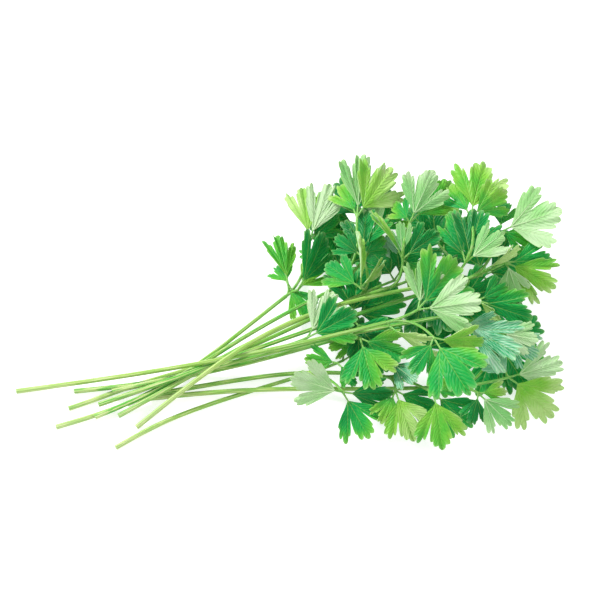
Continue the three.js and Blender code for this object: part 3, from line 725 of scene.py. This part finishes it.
def add_veins(shape, leaf, hub):
    """The leaflet's own stalk, and the main veins that it runs on into, half sunk in the underside."""
    root = leaf.point(0.0, 1.0, VEIN_START) - leaf.normal * ROOT_SINK
    rod(shape, lambda t: hub + (root - hub) * t, PETIOLE_RINGS, PETIOLE_SIDES,
        taper(PETIOLE_RADIUS, PETIOLE_TIP_RADIUS), lambda t: (leaf.tone, PETIOLE_AGE + PETIOLE_AGING * t))
    for turn, end, radius in MAIN_VEINS:

        def vein(t):
            share = VEIN_START + (end - VEIN_START) * t
            on_sheet = sheet_point(leaf, np.array([float(turn)]), np.ones(1), share)[0]
            return on_sheet - leaf.normal * (VEIN_SINK + VEIN_SINK * (1 - t))

        rod(shape, vein, VEIN_RINGS, VEIN_SIDES, lambda t: radius * (1 - VEIN_TAPER * t),
            lambda t: (leaf.tone, 1.0), finish=UNDERSIDE_FINISH)


for shape, route, sprays in zip(shapes, stalk_routes, all_sprays):
    for spray in sprays:
        branch = spray.branch(route)
        rod(shape, branch, BRANCH_RINGS, BRANCH_SIDES, taper(BRANCH_RADIUS, HUB_RADIUS),
            lambda t: (BRANCH_TONE, CROWN_AGE + BRANCH_AGING * t))
        for leaf in spray.leaflets:
            add_veins(shape, leaf, branch(PETIOLES_LEAVE))
            add_blade(shape, leaf)


# The finishes.
# Stalks go from pale yellow-green at the cut to mid green. The blades' upper faces are glossy, with pale
# veins, and their undersides are paler and duller. Light shines through both.
SCREEN_KNEE = 0.0404  # screen colours are straight in proportion below this


def colour(red, green, blue):
    """A colour as seen on a screen, from 0 to 255, as the shaders take it."""
    shares = [value / 255 for value in (red, green, blue)]
    return tuple(s / 12.92 if s < SCREEN_KNEE else ((s + 0.055) / 1.055) ** 2.4 for s in shares) + (1,)


BLACK, WHITE = (0, 0, 0, 1), (1, 1, 1, 1)


class Nodes:
    """A small helper that adds nodes to one material and joins them."""

    def __init__(self, name):
        self.material = bpy.data.materials.new(name)
        self.material.use_nodes = True
        self.tree = self.material.node_tree
        self.tree.nodes.clear()

    def add(self, kind, inputs=None, **settings):
        node = self.tree.nodes.new(kind)
        for key, value in settings.items():
            setattr(node, key, value)
        for key, value in (inputs or {}).items():
            if isinstance(value, bpy.types.NodeSocket):
                self.tree.links.new(value, node.inputs[key])
            else:
                node.inputs[key].default_value = value
        return node

    def maths(self, operation, a, b=0.0, c=0.0):
        return self.add("ShaderNodeMath", {0: a, 1: b, 2: c}, operation=operation).outputs[0]

    def times(self, a, b):
        return self.maths("MULTIPLY", a, b)

    def times_plus(self, a, b, c):
        return self.maths("MULTIPLY_ADD", a, b, c)

    def mix(self, share, a, b, blend="MIX"):
        inputs = {0: share, 6: a, 7: b}
        return self.add("ShaderNodeMix", inputs, data_type="RGBA", blend_type=blend).outputs[2]

    def ramp(self, value, stops):
        node = self.add("ShaderNodeValToRGB", {0: value})
        elements = node.color_ramp.elements
        while len(elements) < len(stops):
            elements.new(0.5)
        for element, (position, rgba) in zip(elements, stops):
            element.position = position
            element.color = rgba
        return node.outputs[0]

    def noise(self, vector, scale, detail):
        inputs = {"Vector": vector, "Scale": scale, "Detail": detail}
        return self.add("ShaderNodeTexNoise", inputs).outputs[0]

    def mark(self, name):
        return self.add("ShaderNodeAttribute", attribute_name=name).outputs["Fac"]

    def bump(self, height, strength, distance):
        return self.add("ShaderNodeBump", {
            "Strength": strength, "Distance": distance, "Height": height}).outputs[0]

    def leafy(self, base, bump, roughness, shine, glow, glow_tint):
        """A skin that some light shines through, as the material's surface."""
        skin = self.add("ShaderNodeBsdfPrincipled", {
            "Base Color": base, "Roughness": roughness, "Specular IOR Level": shine, "Normal": bump})
        lit = self.mix(glow_tint, base, GLOW)
        through = self.add("ShaderNodeBsdfTranslucent", {"Color": lit, "Normal": bump})
        both = self.add("ShaderNodeMixShader", {0: glow, 1: skin.outputs[0], 2: through.outputs[0]})
        self.add("ShaderNodeOutputMaterial", {"Surface": both.outputs[0]})
        return self.material


GLOW = colour(120, 225, 80)
WANDER_SCALE = 5.0
VEIN_WIDTH = 0.021  # half the width of a main vein's line at its root, as a share of the leaflet's length
VEIN_NARROWING = -0.014
SIDE_VEIN_SLANT = -1.7
SIDE_VEIN_SPACING = 0.1
SIDE_VEIN_WANDER = 1.3
SIDE_VEIN_SHARPNESS = -9.0


def veins_of(nodes):
    """Lines of the three main veins and the side veins that leave them, from the blade's own plane."""
    plane = nodes.add("ShaderNodeUVMap", uv_map="plane").outputs[0]
    u, v = nodes.add("ShaderNodeSeparateXYZ", {0: plane}).outputs[:2]
    angle = nodes.maths("ARCTAN2", v, u)
    out = nodes.maths("SQRT", nodes.maths("ADD", nodes.times(u, u), nodes.times(v, v)))
    lobe = math.radians(VEIN_TURN)
    within = nodes.maths("MAXIMUM", nodes.maths("MINIMUM", nodes.maths("DIVIDE", angle, lobe), 1.0), -1.0)
    off = nodes.maths("SUBTRACT", angle, nodes.times(nodes.maths("ROUND", within), lobe))
    beside = nodes.maths("ABSOLUTE", nodes.times(out, nodes.maths("SINE", off)))
    onward = nodes.times(out, nodes.maths("COSINE", off))
    wide = nodes.times_plus(out, VEIN_NARROWING, VEIN_WIDTH)
    main = nodes.maths("SUBTRACT", 1.0, nodes.maths("MINIMUM", nodes.maths("DIVIDE", beside, wide), 1.0))
    wander = nodes.noise(plane, WANDER_SCALE, 2.0)
    slant = nodes.maths("DIVIDE", nodes.times_plus(beside, SIDE_VEIN_SLANT, onward), SIDE_VEIN_SPACING)
    slant = nodes.times_plus(wander, SIDE_VEIN_WANDER, slant)
    wave = nodes.maths("ABSOLUTE", nodes.maths("SUBTRACT", nodes.maths("FRACT", slant), 0.5))
    side = nodes.maths("MAXIMUM", nodes.times_plus(wave, SIDE_VEIN_SHARPNESS, 1.0), 0.0)
    pillow = nodes.times(wave, 2.0)
    return main, side, pillow, out, angle


# How far each mark and noise moves a blade's tone, and the colours that the tone runs through.
CLOUD_SCALE = 75.0
GRAIN_SCALE = 1400.0
CLOUD_TONE = 0.6
# Painted fold shade: one side of each blade is painted darker and the other lighter, more so towards the
# rim, as folds would turn them from the light and towards it; the leaflet's age mark sets which side.
PAINTED_FOLD_SHADE = 0.24
FOLD_SHADE_BEAT = 1.6
FULL_TURN = 6.28
EDGE_TONE = 0.22
EDGE_POWER = 3.0
EDGE_MIDDLE = 0.35
PILLOW_TONE = 0.08
# Painted reflection: leaflets of the lowest tones get a pale blue-green sheen in place of their green,
# streaked out from the root along the blade and brighter on the side veins.
SHEEN_STREAKS = 70.0
SHEEN_STREAK_STRENGTH = 0.14
PAINTED_SHEEN_BELOW = 0.07
SHEEN_ON_VEINS = 0.35
FAINT_GAIN = 1.1
FAINT_START = -0.1
VEIN_TINT = 0.5
RIM_POWER = 24.0
RIM_TINT = 0.4
GRAIN_TINT = 0.35
GRAIN_COLOUR = (0.55, 0.68, 0.55, 1)
BLADE_BUMP = 0.55
BLADE_RELIEF = 0.0004
VEIN_RELIEF = -1.2
GRAIN_RELIEF = 0.15
BLADE_GLOW = 0.3  # the share of the light that passes through
BLADE_GLOW_TINT = 0.5
ROUGH_SPREAD = 0.25
ROUGH_LESS = 0.12
RIM_COLOUR = colour(206, 232, 168)
# The painted sheen's colours, from blue-green to the near-white of reflected light.
PAINTED_SHEEN_TONES = [
    (0.0, colour(0, 136, 78)), (0.3, colour(48, 168, 112)), (0.55, colour(142, 210, 172)),
    (1.0, colour(234, 246, 238))]
UPPER_TONES = [
    (0.0, colour(0, 124, 58)), (0.12, colour(0, 146, 68)), (0.25, colour(0, 160, 76)),
    (0.42, colour(36, 176, 76)), (0.58, colour(96, 194, 64)), (0.76, colour(146, 208, 76)),
    (1.0, colour(200, 228, 148))]
UNDER_TONES = [
    (0.0, colour(44, 168, 100)), (0.3, colour(98, 194, 114)), (0.55, colour(132, 204, 122)),
    (0.8, colour(168, 218, 146)), (1.0, colour(208, 233, 190))]


def blade_finish(name, stops, vein_colour, vein_strength, roughness, shine):
    """A blade's face: its tone with painted fold shade on one side, a painted sheen of reflected light on
    the lowest tones, a lighter rim, veins and the fine grain between them.
    """
    nodes = Nodes(name)
    tone, age, edge = nodes.mark("tone"), nodes.mark("age"), nodes.mark("edge")
    spot = nodes.add("ShaderNodeTexCoord").outputs["Object"]
    main, side, pillow, out, angle = veins_of(nodes)
    cloud = nodes.noise(spot, CLOUD_SCALE, 3.0)
    grain = nodes.noise(spot, GRAIN_SCALE, 2.0)
    # Painted fold shade: darkens one side of the blade and lightens the other.
    slope = nodes.maths("SINE", nodes.times_plus(age, FULL_TURN, nodes.times(angle, FOLD_SHADE_BEAT)))
    toned = nodes.times_plus(nodes.maths("SUBTRACT", cloud, 0.5), CLOUD_TONE, tone)
    toned = nodes.times_plus(nodes.times(slope, out), PAINTED_FOLD_SHADE, toned)
    outward = nodes.maths("SUBTRACT", nodes.maths("POWER", edge, EDGE_POWER), EDGE_MIDDLE)
    toned = nodes.times_plus(outward, EDGE_TONE, toned)
    toned = nodes.times_plus(nodes.times(pillow, grain), PILLOW_TONE, toned)
    # Painted sheen on the lowest tones: streaks of reflected light in pale blue-green take the place of the
    # green.
    sheen_streaks = nodes.times_plus(nodes.maths("SINE", nodes.times(angle, SHEEN_STREAKS)), SHEEN_STREAK_STRENGTH, cloud)
    painted_sheen = nodes.ramp(nodes.times_plus(side, SHEEN_ON_VEINS, sheen_streaks), PAINTED_SHEEN_TONES)
    base = nodes.mix(nodes.maths("LESS_THAN", tone, PAINTED_SHEEN_BELOW), nodes.ramp(toned, stops), painted_sheen)
    faint = nodes.times(side, nodes.times_plus(cloud, FAINT_GAIN, FAINT_START))
    lined = nodes.times(nodes.maths("MAXIMUM", main, faint), vein_strength)
    base = nodes.mix(lined, base, nodes.mix(VEIN_TINT, base, vein_colour))
    base = nodes.mix(nodes.times(nodes.maths("POWER", edge, RIM_POWER), RIM_TINT), base, RIM_COLOUR)
    base = nodes.mix(nodes.times(grain, GRAIN_TINT), base, nodes.mix(1.0, base, GRAIN_COLOUR, "MULTIPLY"))
    relief = nodes.times_plus(main, VEIN_RELIEF, nodes.times_plus(grain, GRAIN_RELIEF, pillow))
    bump = nodes.bump(relief, BLADE_BUMP, BLADE_RELIEF)
    rough = nodes.times_plus(cloud, ROUGH_SPREAD, roughness - ROUGH_LESS)
    return nodes.leafy(base, bump, rough, shine, BLADE_GLOW, BLADE_GLOW_TINT)


STALK_CLOUD_SCALE = 60.0
STALK_GRAIN_SCALE = 900.0
STALK_CLOUD_TONE = 0.5
STREAK_SCALE = 2.6
STREAK_LENGTH = 5.0
STREAK_STEP = 40.0  # keeps the streaks of one stalk unlike the next one's
VIVID_GREEN = colour(70, 176, 56)
PALE_STRAW = colour(216, 228, 176)
RIB_GREEN = colour(126, 180, 70)
STALK_BUMP = 0.4
STALK_RELIEF = 0.0002
STALK_ROUGHNESS = 0.42
STALK_SHINE = 0.45
STALK_GLOW = 0.15
STALK_GLOW_TINT = 0.4
STALK_TONES = [
    (0.0, colour(206, 218, 150)), (0.2, colour(182, 204, 108)), (0.5, colour(148, 188, 76)),
    (0.8, colour(112, 172, 66)), (1.0, colour(140, 198, 100))]


def stalk_finish():
    """A stalk's skin: ribs, and streaks of vivid and of pale green along it."""
    nodes = Nodes("parsley_stalk")
    age, tint, along = nodes.mark("age"), nodes.mark("tone"), nodes.mark("edge")
    plane = nodes.add("ShaderNodeUVMap", uv_map="plane").outputs[0]
    spot = nodes.add("ShaderNodeTexCoord").outputs["Object"]
    u, v = nodes.add("ShaderNodeSeparateXYZ", {0: plane}).outputs[:2]
    ribs = nodes.maths("SINE", nodes.times(nodes.maths("ARCTAN2", v, u), RIBS))
    cloud = nodes.noise(spot, STALK_CLOUD_SCALE, 4.0)
    grain = nodes.noise(spot, STALK_GRAIN_SCALE, 2.0)
    onward = nodes.times_plus(along, STREAK_LENGTH, nodes.times(tint, STREAK_STEP))
    skin_place = nodes.add("ShaderNodeCombineXYZ", {0: u, 1: v, 2: onward}).outputs[0]
    streak = nodes.noise(skin_place, STREAK_SCALE, 2.0)
    toned = nodes.times_plus(nodes.maths("SUBTRACT", cloud, 0.5), STALK_CLOUD_TONE, age)
    base = nodes.ramp(toned, STALK_TONES)
    vivid = nodes.ramp(streak, [(0.46, BLACK), (0.54, WHITE)])
    base = nodes.mix(nodes.times(vivid, nodes.times_plus(tint, 0.8, 0.2)), base, VIVID_GREEN)
    pale = nodes.ramp(streak, [(0.38, WHITE), (0.46, BLACK)])
    base = nodes.mix(nodes.times(pale, 0.5), base, PALE_STRAW)
    base = nodes.mix(nodes.times_plus(ribs, 0.2, 0.2), base, RIB_GREEN)
    bump = nodes.bump(nodes.maths("ADD", ribs, nodes.times(grain, 0.4)), STALK_BUMP, STALK_RELIEF)
    return nodes.leafy(base, bump, STALK_ROUGHNESS, STALK_SHINE, STALK_GLOW, STALK_GLOW_TINT)


finishes = [
    stalk_finish(),
    blade_finish("parsley_blade_upper", UPPER_TONES, colour(190, 235, 120), 0.9, 0.4, 0.2),
    blade_finish("parsley_blade_underside", UNDER_TONES, colour(236, 248, 210), 1.0, 0.6, 0.15),
]


# The leafy stems.
# Stalk, branches, veins and blades of one stem grew as one piece, so they are one object, which stands for
# the frame's node of that stem. The blades are sheets until here, and a Solidify modifier closes them.
TABLE_CLEAR = 0.17  # no point lies lower before the blades get their thickness
SMOOTH_ANGLE = math.radians(50)


def make_object(name, shape):
    """One object of a stem's points and faces, with its finishes, its plan as a UV map and its marks."""
    mesh = bpy.data.meshes.new(name)
    points = np.concatenate(shape.points)
    points[:, 2] = np.maximum(points[:, 2], TABLE_CLEAR)
    mesh.from_pydata((points * MM).tolist(), [], shape.faces)
    marks = np.concatenate(shape.marks)
    for material in finishes:
        mesh.materials.append(material)
    mesh.polygons.foreach_set("material_index", shape.finish)
    corners = np.empty(len(mesh.loops), dtype=int)
    mesh.loops.foreach_get("vertex_index", corners)
    plane = mesh.uv_layers.new(name="plane")
    plane.data.foreach_set("uv", marks[corners, :2].ravel())
    for column, mark in ((2, "tone"), (3, "age"), (4, "edge")):
        mesh.attributes.new(mark, "FLOAT", "POINT").data.foreach_set("value", marks[:, column])
    mesh.update()
    made = bpy.data.objects.new(name, mesh)
    bpy.context.scene.collection.objects.link(made)
    return made


def pick(*objects):
    """Selects these objects alone, and makes the first of them active."""
    bpy.ops.object.select_all(action="DESELECT")
    for each in objects:
        each.select_set(True)
    bpy.context.view_layer.objects.active = objects[0]


def split_sheets(made):
    """The blades' sheets as an object of their own, so that only they are given thickness."""
    pick(made)
    bpy.ops.object.mode_set(mode="EDIT")
    bpy.ops.mesh.select_all(action="DESELECT")
    made.active_material_index = BLADE_FINISH
    bpy.ops.object.material_slot_select()
    bpy.ops.mesh.separate(type="SELECTED")
    bpy.ops.object.mode_set(mode="OBJECT")
    return next(each for each in bpy.context.selected_objects if each is not made)


for index, shape in enumerate(shapes):
    node = f"leafy_stem_{index + 1:02d}"
    piece = make_object(f"{node}_fresh", shape)
    sheets = split_sheets(piece)
    pick(sheets)
    thick = sheets.modifiers.new("thickness", "SOLIDIFY")
    thick.thickness = BLADE_THICKNESS * MM
    thick.offset = 0
    thick.material_offset = UNDERSIDE_FINISH - BLADE_FINISH
    bpy.ops.object.modifier_apply(modifier=thick.name)
    pick(piece, sheets)
    bpy.ops.object.join()
    bpy.ops.object.shade_smooth_by_angle(angle=SMOOTH_ANGLE)
    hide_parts(node)
    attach(piece, "root")


# The table, the light and the camera.
# A plain white table under wide soft lights, seen from EYE_TILT above it through a long lens.
# Sizes are in metres here.
FLOOR_SIZE = 6
FLOOR_DROP = 0.0002
FLOOR_GLOW = 0.62
SKY_LIGHT = 0.8
VIEW_WIDTH = 0.3
DISTANCE = 1.7
SENSOR = 36
LOOK_HEIGHT = 20  # in millimetres above the table

bpy.ops.mesh.primitive_plane_add(size=FLOOR_SIZE, location=(0, 0, -FLOOR_DROP))
floor = bpy.context.object
floor.name = "floor"
paper = Nodes("white_table")
sheen = paper.add("ShaderNodeBsdfPrincipled", {
    "Base Color": (0.6, 0.6, 0.6, 1), "Roughness": 0.9, "Specular IOR Level": 0.0,
    "Emission Color": WHITE, "Emission Strength": FLOOR_GLOW})
paper.add("ShaderNodeOutputMaterial", {"Surface": sheen.outputs[0]})
floor.data.materials.append(paper.material)


def soft_light(name, place_at, aim, size, power):
    """A round lamp at a place, turned to what it lights."""
    data = bpy.data.lights.new(name, "AREA")
    data.shape = "DISK"
    data.size = size
    data.energy = power
    lamp = bpy.data.objects.new(name, data)
    lamp.location = place_at
    way = np.array(aim) - np.array(place_at)
    tilt = math.atan2(math.hypot(way[0], way[1]), -way[2])
    lamp.rotation_euler = (tilt, 0, math.atan2(-way[0], way[1]))
    bpy.context.scene.collection.objects.link(lamp)


soft_light("key", (-0.75, 0.65, 0.95), (0.05, 0, 0), 0.35, 22)
soft_light("fill", (0.7, -0.6, 1.0), (0.05, 0, 0), 0.9, 4)

world = bpy.data.worlds.new("studio")
world.use_nodes = True
sky = world.node_tree.nodes["Background"]
sky.inputs["Color"].default_value = WHITE
sky.inputs["Strength"].default_value = SKY_LIGHT
bpy.context.scene.world = world
bpy.context.scene.view_settings.view_transform = "Standard"

aim = place(0, 0, LOOK_HEIGHT) * MM
camera_data = bpy.data.cameras.new("camera")
camera_data.sensor_width = SENSOR
camera_data.lens = SENSOR * DISTANCE / VIEW_WIDTH
camera = bpy.data.objects.new("camera", camera_data)
camera.location = aim + TO_EYE * DISTANCE
camera.rotation_euler = (math.pi / 2 - EYE_TILT, 0, 0)
bpy.context.scene.collection.objects.link(camera)
bpy.context.scene.camera = camera
